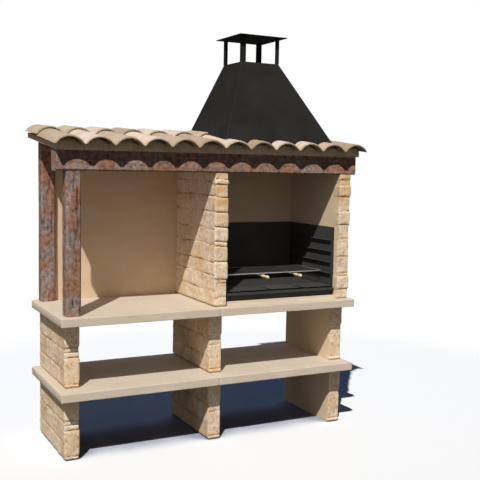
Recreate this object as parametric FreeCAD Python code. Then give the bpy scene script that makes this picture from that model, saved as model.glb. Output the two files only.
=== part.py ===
import FreeCAD, Part
import math
import os

# Masonry barbecue with a tiled lean-to roof, a steel smoke hood, a sliding grill and an ash drawer.
# Millimetres. x runs to the right, y to the back and z up from the floor.
# In the layout x = 0 is the middle of the worktop and y = 0 is its front edge.

V = FreeCAD.Vector

# Worktop, shelf and legs
WORKTOP_W = 1800.0
WORKTOP_D = 656.0
SLAB_T = 45.0
SLAB_EDGE = 4.0
LEG_H = 347.0
WALL_T = 78.0
LEG_SETBACK = 108.0
BACK_SETBACK = 6.0
LEFT_LEG_INSET = 46.0
RIGHT_LEG_INSET = 18.0
MIDDLE_LEG_X = -19.0

# Courses of the imitation stone, from the bottom up, and the joints between them
STONE_COURSES = (62.0, 104.0, 54.0, 72.0, 55.0)
JOINT_H = 7.0
JOINT_DEPTH = 5.0

# Upper walls and panels
WALL_SETBACK = 52.0
NICHE_PANEL_T = 36.0
NICHE_PANEL_GAP = 8.0
FIRE_WALL_T = 30.0

# Posts and beam
POST = 82.0
POST_H = 753.0
POST_CHAMFER = 8.0
POST_INSET = 37.0
FRONT_POST_SETBACK = 50.0
BEAM_H = 108.6
BEAM_D = 100.0
BEAM_SETBACK = 45.0
BEAM_CHAMFER = 8.0
BEAM_LEFT_OVERHANG = 15.0
BEAM_RIGHT_OVERHANG = 10.0

# Roof slab
ROOF_PITCH = 6.65
ROOF_OVERHANG_X = 19.0
ROOF_EAVE = 19.0
ROOF_SLAB_T = 28.0
FLUE_MARGIN_X = 36.0
FLUE_FRONT_GAP = 15.0
FLUE_BACK_GAP = 14.0

# Clay tiles
TILE_COUNT = 12
TILE_OVERHANG_X = 21.8
TILE_EAVE = 57.0
TILE_GAP = 2.8
TILE_WALL = 11.0
TILE_H = 44.0
FRONT_ROW_LENGTH = 441.0
FRONT_ROW_BACK_W = 140.0
FRONT_ROW_BACK_H = 40.5
ROW_LAP = 52.0
BACK_ROW_SETBACK = 8.0
BACK_ROW_BACK_W = 146.0
BACK_ROW_BACK_H = 41.0
BACK_ROW_LIFT = 11.2
CHANNEL_WALL = 8.0
CHANNEL_FLOOR = 28.0
CHANNEL_BEND = 26.0
CHANNEL_SWEEP = 80.0
CHANNEL_EAVE = 1.0
MORTAR_SETBACK = 2.0
MORTAR_D = 16.0
MORTAR_GAP = 0.5

# Hood and cap: the foot is the hood's outline a little above the eave
HOOD_OFFSET_X = -25.5
HOOD_SHEET = 3.0
HOOD_FOOT_RISE = 46.6
HOOD_FOOT_SETBACK = 12.0
HOOD_FOOT_LAP = 6.0
HOOD_H = 509.0
HOOD_FRONT_LEAN = 290.0
HOOD_BACK_LEAN = 60.0
HOOD_TOP_HALF_W = 127.0
HOOD_TILE_GAP = 2.0
CAP_POST = 27.0
CAP_RISE = 152.0
CAP_T = 4.0
CAP_OVERHANG_X = 33.0
CAP_OVERHANG_Y = 42.0

# Steel firebox lining: the insets count from the front of the hearth slab
HEARTH_SETBACK = 88.0
HEARTH_T = 20.0
LINING_T = 3.0
LINING_H = 413.0
LINING_INSET = 7.0
LINING_BACK_GAP = 12.0
CHARCOAL_PLATE_RISE = 53.0
CHARCOAL_INSET = 16.0
LEDGE_RISE = 75.0
LEDGE_STEP = 67.5
LEDGE_COUNT = 4
LEDGE_W = 16.0
LEDGE_DROP = 20.0
LEDGE_T = 2.5
LEDGE_INSET = 24.0
LEDGE_BACK_GAP = 4.0

# Ash drawer
SLIDE_GAP = 0.3
DRAWER_SHEET = 2.5
DRAWER_FOLD_T = 3.75
DRAWER_SIDE_GAP = 3.5
DRAWER_H = 41.0
DRAWER_BACK_GAP = 14.0
DRAWER_INSET = 6.0
DRAWER_NOSE_OUT = 22.0
DRAWER_NOSE_RISE = 35.0
DRAWER_LIP_BACK = 16.0
DRAWER_LIP_RISE = 48.0

# Grill
GRILL_BAR_D = 8.0
GRILL_SIDE_GAP = 4.5
GRILL_INSET = 124.0
GRILL_DEPTH = 290.0
GRILL_CORNER = 18.0
GRILL_ROD_D = 4.0
GRILL_RODS = 37
WELD_GAP = 0.05
HANDLE_SPREAD = 222.0
HANDLE_LENGTH = 84.0
HANDLE_R = 9.5
SHANK_D = 6.0
SHANK_LENGTH = 84.0

# Turned handle: share of its length from the shank, share of its radius
HANDLE_PROFILE = ((0, 0.62), (0.16, 0.86), (0.36, 0.95), (0.56, 0.7), (0.76, 0.98), (0.92, 0.86), (1, 0.45))

# Levels and planes worked out from the sizes above
HALF_W = WORKTOP_W / 2
SHELF_BOTTOM = LEG_H
SHELF_TOP = SHELF_BOTTOM + SLAB_T
WORKTOP_BOTTOM = SHELF_TOP + LEG_H
WORKTOP_TOP = WORKTOP_BOTTOM + SLAB_T
BACK_Y = WORKTOP_D - BACK_SETBACK
LEFT_LEG_X = LEFT_LEG_INSET - HALF_W
RIGHT_LEG_X = HALF_W - RIGHT_LEG_INSET - WALL_T
FIRE_X0 = MIDDLE_LEG_X + WALL_T
FIRE_X1 = RIGHT_LEG_X
FIRE_MID_X = (FIRE_X0 + FIRE_X1) / 2
FIRE_WALL_Y = BACK_Y - FIRE_WALL_T
HEARTH_TOP = WORKTOP_TOP + HEARTH_T
POST_X = POST_INSET - HALF_W
BEAM_LEFT = -HALF_W - BEAM_LEFT_OVERHANG
BEAM_RIGHT = HALF_W + BEAM_RIGHT_OVERHANG
BEAM_BACK = BEAM_SETBACK + BEAM_D
BEAM_BOTTOM = WORKTOP_TOP + POST_H
PITCH_TAN = math.tan(math.radians(ROOF_PITCH))
ROOF_HALF_W = HALF_W + ROOF_OVERHANG_X
ROOF_SEAM_X = MIDDLE_LEG_X + WALL_T / 2
ROOF_FRONT = BEAM_SETBACK - ROOF_EAVE
EAVE_Z = BEAM_BOTTOM + BEAM_H - ROOF_EAVE * PITCH_TAN
TILE_PITCH = 2 * (ROOF_HALF_W + TILE_OVERHANG_X) / TILE_COUNT
TILE_W = TILE_PITCH - TILE_GAP
TILE_FRONT = ROOF_FRONT - TILE_EAVE
FRONT_ROW_END = TILE_FRONT + FRONT_ROW_LENGTH
BACK_ROW_FRONT = FRONT_ROW_END - ROW_LAP
BACK_ROW_END = BACK_Y - BACK_ROW_SETBACK
HOOD_X = FIRE_MID_X + HOOD_OFFSET_X
HOOD_FOOT_Z = EAVE_Z + HOOD_FOOT_RISE
HOOD_FOOT_HALF_W = (FIRE_X1 - FIRE_X0) / 2
HOOD_FOOT_FRONT = BEAM_SETBACK + HOOD_FOOT_SETBACK
HOOD_FOOT_BACK = BACK_Y + HOOD_FOOT_LAP
HOOD_TOP_Z = HOOD_FOOT_Z + HOOD_H
HOOD_TOP_FRONT = HOOD_FOOT_FRONT + HOOD_FRONT_LEAN
HOOD_TOP_BACK = HOOD_FOOT_BACK - HOOD_BACK_LEAN
CAP_Z = HOOD_TOP_Z + CAP_RISE
LINING_FRONT = HEARTH_SETBACK + LINING_INSET
LINING_BACK_Y = FIRE_WALL_Y - LINING_BACK_GAP
LINING_TOP = HEARTH_TOP + LINING_H
LINING_X0 = FIRE_X0 + LINING_T
LINING_X1 = FIRE_X1 - LINING_T
CHARCOAL_FRONT = HEARTH_SETBACK + CHARCOAL_INSET
CHARCOAL_Z = HEARTH_TOP + CHARCOAL_PLATE_RISE
LEDGE_FRONT = HEARTH_SETBACK + LEDGE_INSET
LEDGE_FIRST_Z = CHARCOAL_Z + LINING_T + LEDGE_RISE
DRAWER_FOOT_Y = HEARTH_SETBACK + DRAWER_INSET
DRAWER_NOSE_Y = DRAWER_FOOT_Y - DRAWER_NOSE_OUT
DRAWER_LIP_Y = DRAWER_NOSE_Y + DRAWER_LIP_BACK
GRILL_FRONT = HEARTH_SETBACK + GRILL_INSET
GRILL_Z = LEDGE_FIRST_Z + SLIDE_GAP + GRILL_BAR_D / 2
MIDDLE_Y = (TILE_FRONT + WORKTOP_D) / 2
FAR = 4000.0
TOLERANCE = 1e-6


def roof_bottom(y):
    return EAVE_Z + (y - ROOF_FRONT) * PITCH_TAN


def roof_top(y):
    return roof_bottom(y) + ROOF_SLAB_T


def box(x0, x1, y0, y1, z0, z1):
    return Part.makeBox(x1 - x0, y1 - y0, z1 - z0, V(x0, y0, z0))


def prism_x(points, x0, x1):
    """Solid with a straight-sided outline of (y, z) points, drawn out along x."""
    wire = Part.makePolygon([V(x0, y, z) for y, z in points + points[:1]])
    return Part.Face(wire).extrude(V(x1 - x0, 0, 0))


def above(plane):
    """Everything above a plane that slopes with the roof, as a tool to cut with."""
    return prism_x([(-FAR, plane(-FAR)), (FAR, plane(FAR)), (FAR, FAR), (-FAR, FAR)], -FAR, FAR)


def below(plane):
    return prism_x([(-FAR, plane(-FAR)), (FAR, plane(FAR)), (FAR, -FAR), (-FAR, -FAR)], -FAR, FAR)


def edges_along(shape, direction):
    """Straight edges of a shape that run along x, y or z."""
    found = []
    for edge in shape.Edges:
        step = edge.Vertexes[-1].Point - edge.Vertexes[0].Point
        if step.Length > 0 and abs(abs(step.normalize().dot(direction)) - 1) < TOLERANCE:
            found.append(edge)
    return found


def course_joints(z0, z1):
    """Heights of the joints between courses of stone, repeating the pattern up to the top."""
    joints = []
    z = z0 + STONE_COURSES[0]
    while z < z1 - JOINT_H:
        joints.append(z)
        z += STONE_COURSES[len(joints) % len(STONE_COURSES)]
    return joints


def stone_block(x, y, z0, z1, stone_side):
    """Leg or wall with open joints on its front and on its stone side, -1 for left or 1 for right."""
    block = box(x, x + WALL_T, y, BACK_Y, z0, z1)
    side_x = x if stone_side < 0 else x + WALL_T - JOINT_DEPTH
    for z in course_joints(z0, z1):
        front = box(x, x + WALL_T, y, y + JOINT_DEPTH, z - JOINT_H / 2, z + JOINT_H / 2)
        side = box(side_x, side_x + JOINT_DEPTH, y, BACK_Y, z - JOINT_H / 2, z + JOINT_H / 2)
        block = block.cut(front.fuse(side))
    return block


def legs(prefix, z0):
    """Three legs of one tier: the stone faces look to the left, but outwards on the right leg."""
    places = {"left": (LEFT_LEG_X, -1), "middle": (MIDDLE_LEG_X, -1), "right": (RIGHT_LEG_X, 1)}
    return {
        f"{prefix}_leg_{name}": stone_block(x, LEG_SETBACK, z0, z0 + LEG_H, side)
        for name, (x, side) in places.items()
    }


def slab_pair(prefix, z0):
    """Two cast slabs side by side, with eased edges along their top and bottom."""
    pair = {}
    for name, x0, x1 in (("left", -HALF_W, 0.0), ("right", 0.0, HALF_W)):
        slab = box(x0, x1, 0, WORKTOP_D, z0, z0 + SLAB_T)
        pair[f"{prefix}_slab_{name}"] = slab.makeFillet(SLAB_EDGE, edges_along(slab, V(1, 0, 0)))
    return pair


def upper_wall(x, stone_side):
    """Wall from the worktop to the roof slab, notched at its front for the beam."""
    wall = stone_block(x, WALL_SETBACK, WORKTOP_TOP, roof_bottom(BACK_Y), stone_side)
    notch = box(-FAR, FAR, -FAR, BEAM_BACK, BEAM_BOTTOM, FAR)
    return wall.cut(notch).cut(above(roof_bottom))


def niche_back_panel():
    back = BACK_Y - NICHE_PANEL_GAP
    panel = box(POST_X + POST, MIDDLE_LEG_X, back - NICHE_PANEL_T, back, WORKTOP_TOP, FAR)
    return panel.cut(above(roof_bottom))


def firebox_back_wall():
    wall = box(FIRE_X0, FIRE_X1, FIRE_WALL_Y, BACK_Y, WORKTOP_TOP, FAR)
    return wall.cut(above(roof_bottom))


def hearth_slab():
    return box(FIRE_X0, FIRE_X1, HEARTH_SETBACK, FIRE_WALL_Y, WORKTOP_TOP, HEARTH_TOP)


def post(y, top):
    column = box(POST_X, POST_X + POST, y, y + POST, WORKTOP_TOP, top)
    return column.makeChamfer(POST_CHAMFER, edges_along(column, V(0, 0, 1)))


def rear_post():
    return post(BACK_Y - POST, roof_bottom(BACK_Y)).cut(above(roof_bottom))


def front_beam():
    top = roof_bottom(BEAM_BACK)
    beam = box(BEAM_LEFT, BEAM_RIGHT, BEAM_SETBACK, BEAM_BACK, BEAM_BOTTOM, top)
    low = [e for e in edges_along(beam, V(1, 0, 0)) if e.BoundBox.ZMax < BEAM_BOTTOM + BEAM_CHAMFER]
    return beam.makeChamfer(BEAM_CHAMFER, low).cut(above(roof_bottom))


def roof_slab(x0, x1):
    outline = [
        (ROOF_FRONT, roof_bottom(ROOF_FRONT)),
        (BACK_Y, roof_bottom(BACK_Y)),
        (BACK_Y, roof_top(BACK_Y)),
        (ROOF_FRONT, roof_top(ROOF_FRONT)),
    ]
    return prism_x(outline, x0, x1)


def roof_slab_right():
    """Slab over the firebox, with an opening for the smoke under the hood."""
    half = HOOD_FOOT_HALF_W - FLUE_MARGIN_X
    front = BEAM_BACK + FLUE_FRONT_GAP
    back = FIRE_WALL_Y - FLUE_BACK_GAP
    flue = box(HOOD_X - half, HOOD_X + half, front, back, 0, FAR)
    return roof_slab(ROOF_SEAM_X, ROOF_HALF_W).cut(flue)


def tile_x(number):
    """Middle of a tile, counted from 1 at the left."""
    return (number - (TILE_COUNT + 1) / 2) * TILE_PITCH


def arch(x, y, z, width, height):
    """Closed outline of a tile's end: two arcs one wall apart, on flat feet."""
    outer = [V(x - width / 2, y, z), V(x, y, z + height), V(x + width / 2, y, z)]
    half = width / 2 - TILE_WALL
    inner = [V(x + half, y, z), V(x, y, z + height - TILE_WALL), V(x - half, y, z)]
    return Part.Wire([
        Part.Arc(*outer).toShape(),
        Part.LineSegment(outer[2], inner[0]).toShape(),
        Part.Arc(*inner).toShape(),
        Part.LineSegment(inner[2], outer[0]).toShape(),
    ])


def tile_foot(y):
    return roof_top(y) + CHANNEL_WALL


def front_tile(number):
    x = tile_x(number)
    ends = [
        arch(x, TILE_FRONT, tile_foot(TILE_FRONT), TILE_W, TILE_H),
        arch(x, FRONT_ROW_END, tile_foot(FRONT_ROW_END), FRONT_ROW_BACK_W, FRONT_ROW_BACK_H),
    ]
    cut = Part.makeLoft(ends, True, True).cut(hood_block(HOOD_TILE_GAP))
    return next(solid for solid in cut.Solids if solid.BoundBox.YMin < ROOF_FRONT)


def back_row():
    """Numbers of the tiles that stand out beside the hood, which takes the place of the others."""
    row = []
    for number in range(1, TILE_COUNT + 1):
        left_out = HOOD_X - HOOD_FOOT_HALF_W - (tile_x(number) - TILE_W / 2)
        right_out = tile_x(number) + TILE_W / 2 - (HOOD_X + HOOD_FOOT_HALF_W)
        if max(left_out, right_out) > TILE_WALL:
            row.append(number)
    return row


def back_tile(number):
    """Tile of the upper row: its front rides on the lower row, its back sits on the channels."""
    x = tile_x(number)
    ends = [
        arch(x, BACK_ROW_FRONT, tile_foot(BACK_ROW_FRONT) + BACK_ROW_LIFT, TILE_W, TILE_H),
        arch(x, BACK_ROW_END, tile_foot(BACK_ROW_END), BACK_ROW_BACK_W, BACK_ROW_BACK_H),
    ]
    return Part.makeLoft(ends, True, True).cut(hood_block(HOOD_TILE_GAP))


def along_roof(wire, length):
    return Part.Face(wire).extrude(V(0, length, length * PITCH_TAN))


def channel_outline(x, y, z):
    """Trough with a flat floor and two sides that curl up under the tiles."""
    def side(sign, radius, degrees):
        angle = math.radians(degrees)
        offset = CHANNEL_FLOOR + radius * math.sin(angle)
        return V(x + sign * offset, y, z + CHANNEL_BEND - radius * math.cos(angle))

    inner_bend = CHANNEL_BEND - CHANNEL_WALL
    outer = [[side(s, CHANNEL_BEND, a * CHANNEL_SWEEP) for a in (0, 0.5, 1)] for s in (-1, 1)]
    inner = [[side(s, inner_bend, a * CHANNEL_SWEEP) for a in (0, 0.5, 1)] for s in (-1, 1)]
    curves = [
        Part.LineSegment(outer[0][0], outer[1][0]),
        Part.Arc(*outer[1]),
        Part.LineSegment(outer[1][2], inner[1][2]),
        Part.Arc(*inner[1][::-1]),
        Part.LineSegment(inner[1][0], inner[0][0]),
        Part.Arc(*inner[0]),
        Part.LineSegment(inner[0][2], outer[0][2]),
        Part.Arc(*outer[0][::-1]),
    ]
    return Part.Wire([curve.toShape() for curve in curves])


def channel_tiles():
    """One channel under each pair of tiles that meet, cut back where the hood stands."""
    front = ROOF_FRONT - CHANNEL_EAVE
    channels = []
    for number in range(1, TILE_COUNT):
        x = tile_x(number) + TILE_PITCH / 2
        trough = along_roof(channel_outline(x, front, roof_top(front)), BACK_ROW_END - front)
        cut = trough.cut(hood_block(HOOD_TILE_GAP))
        channels += [solid for solid in cut.Solids if solid.BoundBox.YMin < ROOF_FRONT]
    return Part.makeCompound(channels)


def mortar_outline(x, y):
    """Fill under one tile: a stem between two channels and a cap that follows the tile's arch."""
    z = roof_top(y)
    share = (y + MORTAR_D - TILE_FRONT) / FRONT_ROW_LENGTH
    width = TILE_W + (FRONT_ROW_BACK_W - TILE_W) * share - 2 * TILE_WALL
    height = TILE_H + (FRONT_ROW_BACK_H - TILE_H) * share - TILE_WALL
    radius = (width * width / 4 + height * height) / (2 * height) - MORTAR_GAP
    crest = CHANNEL_WALL + height - MORTAR_GAP
    sweep = math.radians(CHANNEL_SWEEP)
    rim = CHANNEL_BEND - (CHANNEL_BEND - CHANNEL_WALL) * math.cos(sweep) + MORTAR_GAP
    reach = CHANNEL_FLOOR + CHANNEL_BEND * math.sin(sweep) + MORTAR_GAP
    stem = TILE_PITCH / 2 - reach
    cap = math.sqrt(radius * radius - (radius - crest + rim) ** 2)
    path = [(-cap, rim), (-stem, rim), (-stem, 0), (stem, 0), (stem, rim), (cap, rim)]
    points = [V(x + u, y, z + w) for u, w in path]
    edges = [Part.LineSegment(a, b).toShape() for a, b in zip(points, points[1:])]
    edges.append(Part.Arc(points[-1], V(x, y, z + crest), points[0]).toShape())
    return Part.Wire(edges)


def tile_mortar_fill():
    front = ROOF_FRONT + MORTAR_SETBACK
    fills = []
    for number in range(1, TILE_COUNT + 1):
        fill = along_roof(mortar_outline(tile_x(number), front), MORTAR_D)
        fills += fill.cut(hood_block(MORTAR_GAP)).Solids
    return Part.makeCompound(fills)


def hood_block(grow=0.0):
    """Outer shape of the hood as one solid, grown sideways, run down through the roof."""
    def level(z):
        share = (z - HOOD_FOOT_Z) / HOOD_H
        half = HOOD_FOOT_HALF_W + (HOOD_TOP_HALF_W - HOOD_FOOT_HALF_W) * share + grow
        front = HOOD_FOOT_FRONT + HOOD_FRONT_LEAN * share - grow
        back = HOOD_FOOT_BACK - HOOD_BACK_LEAN * share + grow
        corners = [(-half, front), (half, front), (half, back), (-half, back), (-half, front)]
        return Part.makePolygon([V(HOOD_X + x, y, z) for x, y in corners])

    return Part.makeLoft([level(EAVE_Z), level(HOOD_TOP_Z)], True, True)


def hood_panels():
    """Four sheets that stand on the roof slab; front and back run the full width."""
    block = hood_block()
    step_x = V(HOOD_SHEET, 0, 0)
    step_y = V(0, HOOD_SHEET, 0)
    front = block.cut(block.translated(step_y))
    back = block.cut(block.translated(step_y * -1))
    ends = front.fuse(back)
    panels = {
        "hood_front_panel": front,
        "hood_back_panel": back,
        "hood_left_panel": block.cut(block.translated(step_x)).cut(ends),
        "hood_right_panel": block.cut(block.translated(step_x * -1)).cut(ends),
    }
    roof = below(roof_top)
    return {name: panel.cut(roof) for name, panel in panels.items()}


def cap_posts():
    """Four angle bars on the corners of the hood's mouth."""
    posts = []
    for side in (-1, 1):
        x = HOOD_X + side * HOOD_TOP_HALF_W
        for y, turn in ((HOOD_TOP_FRONT, 1), (HOOD_TOP_BACK, -1)):
            wide_x = sorted((x, x - side * CAP_POST))
            thin_x = sorted((x, x - side * HOOD_SHEET))
            wide_y = sorted((y, y + turn * CAP_POST))
            thin_y = sorted((y, y + turn * HOOD_SHEET))
            flat = box(*wide_x, *thin_y, HOOD_TOP_Z, CAP_Z)
            edge = box(*thin_x, *wide_y, HOOD_TOP_Z, CAP_Z)
            posts.append(flat.fuse(edge).removeSplitter())
    return Part.makeCompound(posts)


def cap_plate():
    half = HOOD_TOP_HALF_W + CAP_OVERHANG_X
    front = HOOD_TOP_FRONT - CAP_OVERHANG_Y
    back = HOOD_TOP_BACK + CAP_OVERHANG_Y
    return box(HOOD_X - half, HOOD_X + half, front, back, CAP_Z, CAP_Z + CAP_T)


def lining_plates():
    """Steel plates round the fire: two sides against the walls and a back between them."""
    back = LINING_BACK_Y + LINING_T
    span = (LINING_FRONT, back, HEARTH_TOP, LINING_TOP)
    grate = (CHARCOAL_FRONT, LINING_BACK_Y, CHARCOAL_Z, CHARCOAL_Z + LINING_T)
    return {
        "lining_left_plate": box(FIRE_X0, LINING_X0, *span),
        "lining_right_plate": box(LINING_X1, FIRE_X1, *span),
        "lining_back_plate": box(LINING_X0, LINING_X1, LINING_BACK_Y, back, HEARTH_TOP, LINING_TOP),
        "charcoal_plate": box(LINING_X0, LINING_X1, *grate),
    }


def grill_ledges(side):
    """Angle runners on one side plate, one for each grill height."""
    wall = LINING_X0 if side < 0 else LINING_X1
    ledges = []
    for step in range(LEDGE_COUNT):
        top = LEDGE_FIRST_Z + step * LEDGE_STEP
        span = (LEDGE_FRONT, LINING_BACK_Y - LEDGE_BACK_GAP)
        shelf = box(*sorted((wall, wall - side * LEDGE_W)), *span, top - LEDGE_T, top)
        web = box(*sorted((wall, wall - side * LEDGE_T)), *span, top - LEDGE_DROP, top)
        ledges.append(shelf.fuse(web).removeSplitter())
    return Part.makeCompound(ledges)


def ash_drawer():
    """Shallow tray with a folded nose that leans out at the front."""
    x0 = LINING_X0 + DRAWER_SIDE_GAP
    x1 = LINING_X1 - DRAWER_SIDE_GAP
    z0 = HEARTH_TOP + SLIDE_GAP
    z1 = z0 + DRAWER_H
    back = LINING_BACK_Y - DRAWER_BACK_GAP
    sheet = DRAWER_SHEET
    fold = [
        (DRAWER_FOOT_Y, z0),
        (DRAWER_NOSE_Y, z0 + DRAWER_NOSE_RISE),
        (DRAWER_LIP_Y, z0 + DRAWER_LIP_RISE),
    ]
    inside = [(y + DRAWER_FOLD_T, z) for y, z in reversed(fold)]
    nose = prism_x(fold + inside, x0, x1)
    floor = box(x0, x1, DRAWER_FOOT_Y + sheet, back, z0, z0 + sheet)
    left = box(x0, x0 + sheet, DRAWER_FOOT_Y + sheet, back, z0, z1)
    right = box(x1 - sheet, x1, DRAWER_FOOT_Y + sheet, back, z0, z1)
    rear = box(x0, x1, back - sheet, back, z0, z1)
    return nose.multiFuse([floor, left, right, rear]).removeSplitter()


def grill_half_width():
    return (LINING_X1 - LINING_X0) / 2 - GRILL_SIDE_GAP - GRILL_BAR_D / 2


def grill_frame():
    """Round bar bent into a rectangle with rounded corners."""
    half = grill_half_width()
    x0, x1 = FIRE_MID_X - half, FIRE_MID_X + half
    y0, y1 = GRILL_FRONT, GRILL_FRONT + GRILL_DEPTH
    r = GRILL_CORNER
    dip = r * (1 - math.sqrt(0.5))
    corners = [(x1, y0, -1, 1), (x1, y1, -1, -1), (x0, y1, 1, -1), (x0, y0, 1, 1)]
    start = V(FIRE_MID_X, y0, GRILL_Z)
    here = start
    edges = []
    for index, (x, y, sx, sy) in enumerate(corners):
        along_x = V(x + sx * r, y, GRILL_Z)
        along_y = V(x, y + sy * r, GRILL_Z)
        enter, leave = (along_x, along_y) if index % 2 == 0 else (along_y, along_x)
        middle = V(x + sx * dip, y + sy * dip, GRILL_Z)
        edges.append(Part.LineSegment(here, enter).toShape())
        edges.append(Part.Arc(enter, middle, leave).toShape())
        here = leave
    edges.append(Part.LineSegment(here, start).toShape())
    ring = Part.Wire(Part.makeCircle(GRILL_BAR_D / 2, start, V(1, 0, 0)))
    return Part.Wire(edges).makePipeShell([ring], True, True)


def grill_rods():
    """Thin rods from front to back, lying on the frame."""
    span = 2 * (grill_half_width() - GRILL_CORNER)
    z = GRILL_Z + (GRILL_BAR_D + GRILL_ROD_D) / 2 + WELD_GAP
    rods = []
    for index in range(GRILL_RODS):
        x = FIRE_MID_X + span * (index / (GRILL_RODS - 1) - 0.5)
        start = V(x, GRILL_FRONT, z)
        rods.append(Part.makeCylinder(GRILL_ROD_D / 2, GRILL_DEPTH, start, V(0, 1, 0)))
    return Part.makeCompound(rods)


def handle_x(side):
    return FIRE_MID_X + side * HANDLE_SPREAD / 2


def handle_back():
    return GRILL_FRONT - GRILL_BAR_D / 2 - SHANK_LENGTH


def handle_shanks():
    shanks = []
    for side in (-1, 1):
        foot = V(handle_x(side), handle_back(), GRILL_Z)
        shanks.append(Part.makeCylinder(SHANK_D / 2, SHANK_LENGTH - WELD_GAP, foot, V(0, 1, 0)))
    return Part.makeCompound(shanks)


def grill_handle(side):
    """Turned wooden handle with two swellings and a rounded end, lying along y."""
    x = handle_x(side)
    back = handle_back()
    outline = [V(x + HANDLE_R * r, back - HANDLE_LENGTH * t, GRILL_Z) for t, r in HANDLE_PROFILE]
    curve = Part.BSplineCurve()
    curve.interpolate(outline)
    first = V(x, outline[0].y, GRILL_Z)
    last = V(x, outline[-1].y, GRILL_Z)
    edges = [
        Part.LineSegment(first, outline[0]).toShape(),
        curve.toShape(),
        Part.LineSegment(outline[-1], last).toShape(),
        Part.LineSegment(last, first).toShape(),
    ]
    return Part.Face(Part.Wire(edges)).revolve(first, V(0, 1, 0), 360)


def all_nodes():
    nodes = {}
    nodes.update(legs("base", 0.0))
    nodes.update(slab_pair("shelf", SHELF_BOTTOM))
    nodes.update(legs("upper", SHELF_TOP))
    nodes.update(slab_pair("worktop", WORKTOP_BOTTOM))
    nodes["middle_wall"] = upper_wall(MIDDLE_LEG_X, -1)
    nodes["right_wall"] = upper_wall(RIGHT_LEG_X, 1)
    nodes["niche_back_panel"] = niche_back_panel()
    nodes["firebox_back_wall"] = firebox_back_wall()
    nodes["hearth_slab"] = hearth_slab()
    nodes["front_post"] = post(FRONT_POST_SETBACK, BEAM_BOTTOM)
    nodes["rear_post"] = rear_post()
    nodes["front_beam"] = front_beam()
    nodes["roof_slab_left"] = roof_slab(-ROOF_HALF_W, ROOF_SEAM_X)
    nodes["roof_slab_right"] = roof_slab_right()
    nodes["channel_tiles"] = channel_tiles()
    nodes["tile_mortar_fill"] = tile_mortar_fill()
    for number in range(1, TILE_COUNT + 1):
        nodes[f"cover_tile_front_{number:02d}"] = front_tile(number)
    for number in back_row():
        nodes[f"cover_tile_back_{number:02d}"] = back_tile(number)
    nodes.update(hood_panels())
    nodes["cap_posts"] = cap_posts()
    nodes["cap_plate"] = cap_plate()
    nodes.update(lining_plates())
    nodes["grill_ledges_left"] = grill_ledges(-1)
    nodes["grill_ledges_right"] = grill_ledges(1)
    nodes["ash_drawer"] = ash_drawer()
    nodes["grill_frame"] = grill_frame()
    nodes["grill_rods"] = grill_rods()
    nodes["handle_shanks"] = handle_shanks()
    nodes["grill_handle_left"] = grill_handle(-1)
    nodes["grill_handle_right"] = grill_handle(1)
    return nodes


def main():
    """Writes each node with the origin on the floor, in the middle of the whole outline."""
    os.makedirs("parts", exist_ok=True)
    for name, shape in all_nodes().items():
        shape.translate(V(0, -MIDDLE_Y, 0))
        shape.exportStep(f"parts/{name}.step")
        print(name, len(shape.Solids), shape.isValid(), round(shape.Volume))


main()
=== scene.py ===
import math
import random

import bmesh
import bpy
from mathutils import Matrix, Vector, noise


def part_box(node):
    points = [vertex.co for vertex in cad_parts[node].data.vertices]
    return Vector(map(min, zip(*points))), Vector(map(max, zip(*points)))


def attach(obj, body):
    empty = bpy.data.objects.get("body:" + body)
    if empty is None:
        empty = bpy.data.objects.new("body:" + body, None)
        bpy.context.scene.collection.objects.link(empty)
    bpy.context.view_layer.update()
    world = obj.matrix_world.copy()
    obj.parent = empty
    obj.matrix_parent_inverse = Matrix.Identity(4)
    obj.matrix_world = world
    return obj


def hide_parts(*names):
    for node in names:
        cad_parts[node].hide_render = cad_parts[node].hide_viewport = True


# Looks of a masonry barbecue with a tiled lean-to roof. Metres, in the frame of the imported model.

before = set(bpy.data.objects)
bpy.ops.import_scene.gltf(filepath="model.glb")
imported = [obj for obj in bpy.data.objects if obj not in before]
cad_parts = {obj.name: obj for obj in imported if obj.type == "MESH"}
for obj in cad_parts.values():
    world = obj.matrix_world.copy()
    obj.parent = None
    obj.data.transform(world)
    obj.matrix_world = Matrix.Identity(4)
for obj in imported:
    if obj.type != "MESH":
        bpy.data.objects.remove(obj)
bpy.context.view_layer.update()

# Front edge of the worktop, from which the places below are counted to the back
FRONT_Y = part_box("worktop_slab_left")[0].y

# Roof plane: height of its top at the eave, and its slope
EAVE_Y = FRONT_Y + 0.026
EAVE_TOP_Z = 1.6714
ROOF_SLOPE = 0.1166
ROOF_SLAB_T = 0.028

# Stone relief
STONE_GRID = 0.0048
PLAIN_GRID = 0.03
FACE_SEED_STEP = 7.3
JOINT_W = 0.0028
JOINT_DEPTH = 0.0048
STONE_BULGE = 0.0012
STONE_STEP = 0.0012
QUOIN_STEP = 0.0045
QUOIN_DEPTH = 0.040
STONE_CORNER = 0.0025
STAINED_FROM = 0.57
QUOIN_PALENESS = 0.5
LEG_PALENESS = 0.0
WALL_PALENESS = 0.7
FOOT_H = 0.014
FOOT_DRAW = 0.012
STONE_LENGTHS = (0.12, 0.26)
LEG_FRONT = (0.024, 0.142, 0.030, 0.024, 0.127)
LEG_SIDE = (0.094, 0.109, 0.144)
WALL_FRONT = (0.057, 0.081, 0.020, 0.101, 0.085, 0.026, 0.079, 0.085, 0.083, 0.071, 0.032, 0.060, 0.150)
WALL_SIDE = (0.088, 0.092, 0.074, 0.098, 0.085, 0.101, 0.090, 0.084, 0.077, 0.093, 0.150)

# Aged timber relief
TIMBER_GRID = 0.008
POST_CHAMFER = 0.008
BEAM_CHAMFER = 0.008
GRAIN_DEPTH = 0.0022

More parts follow.
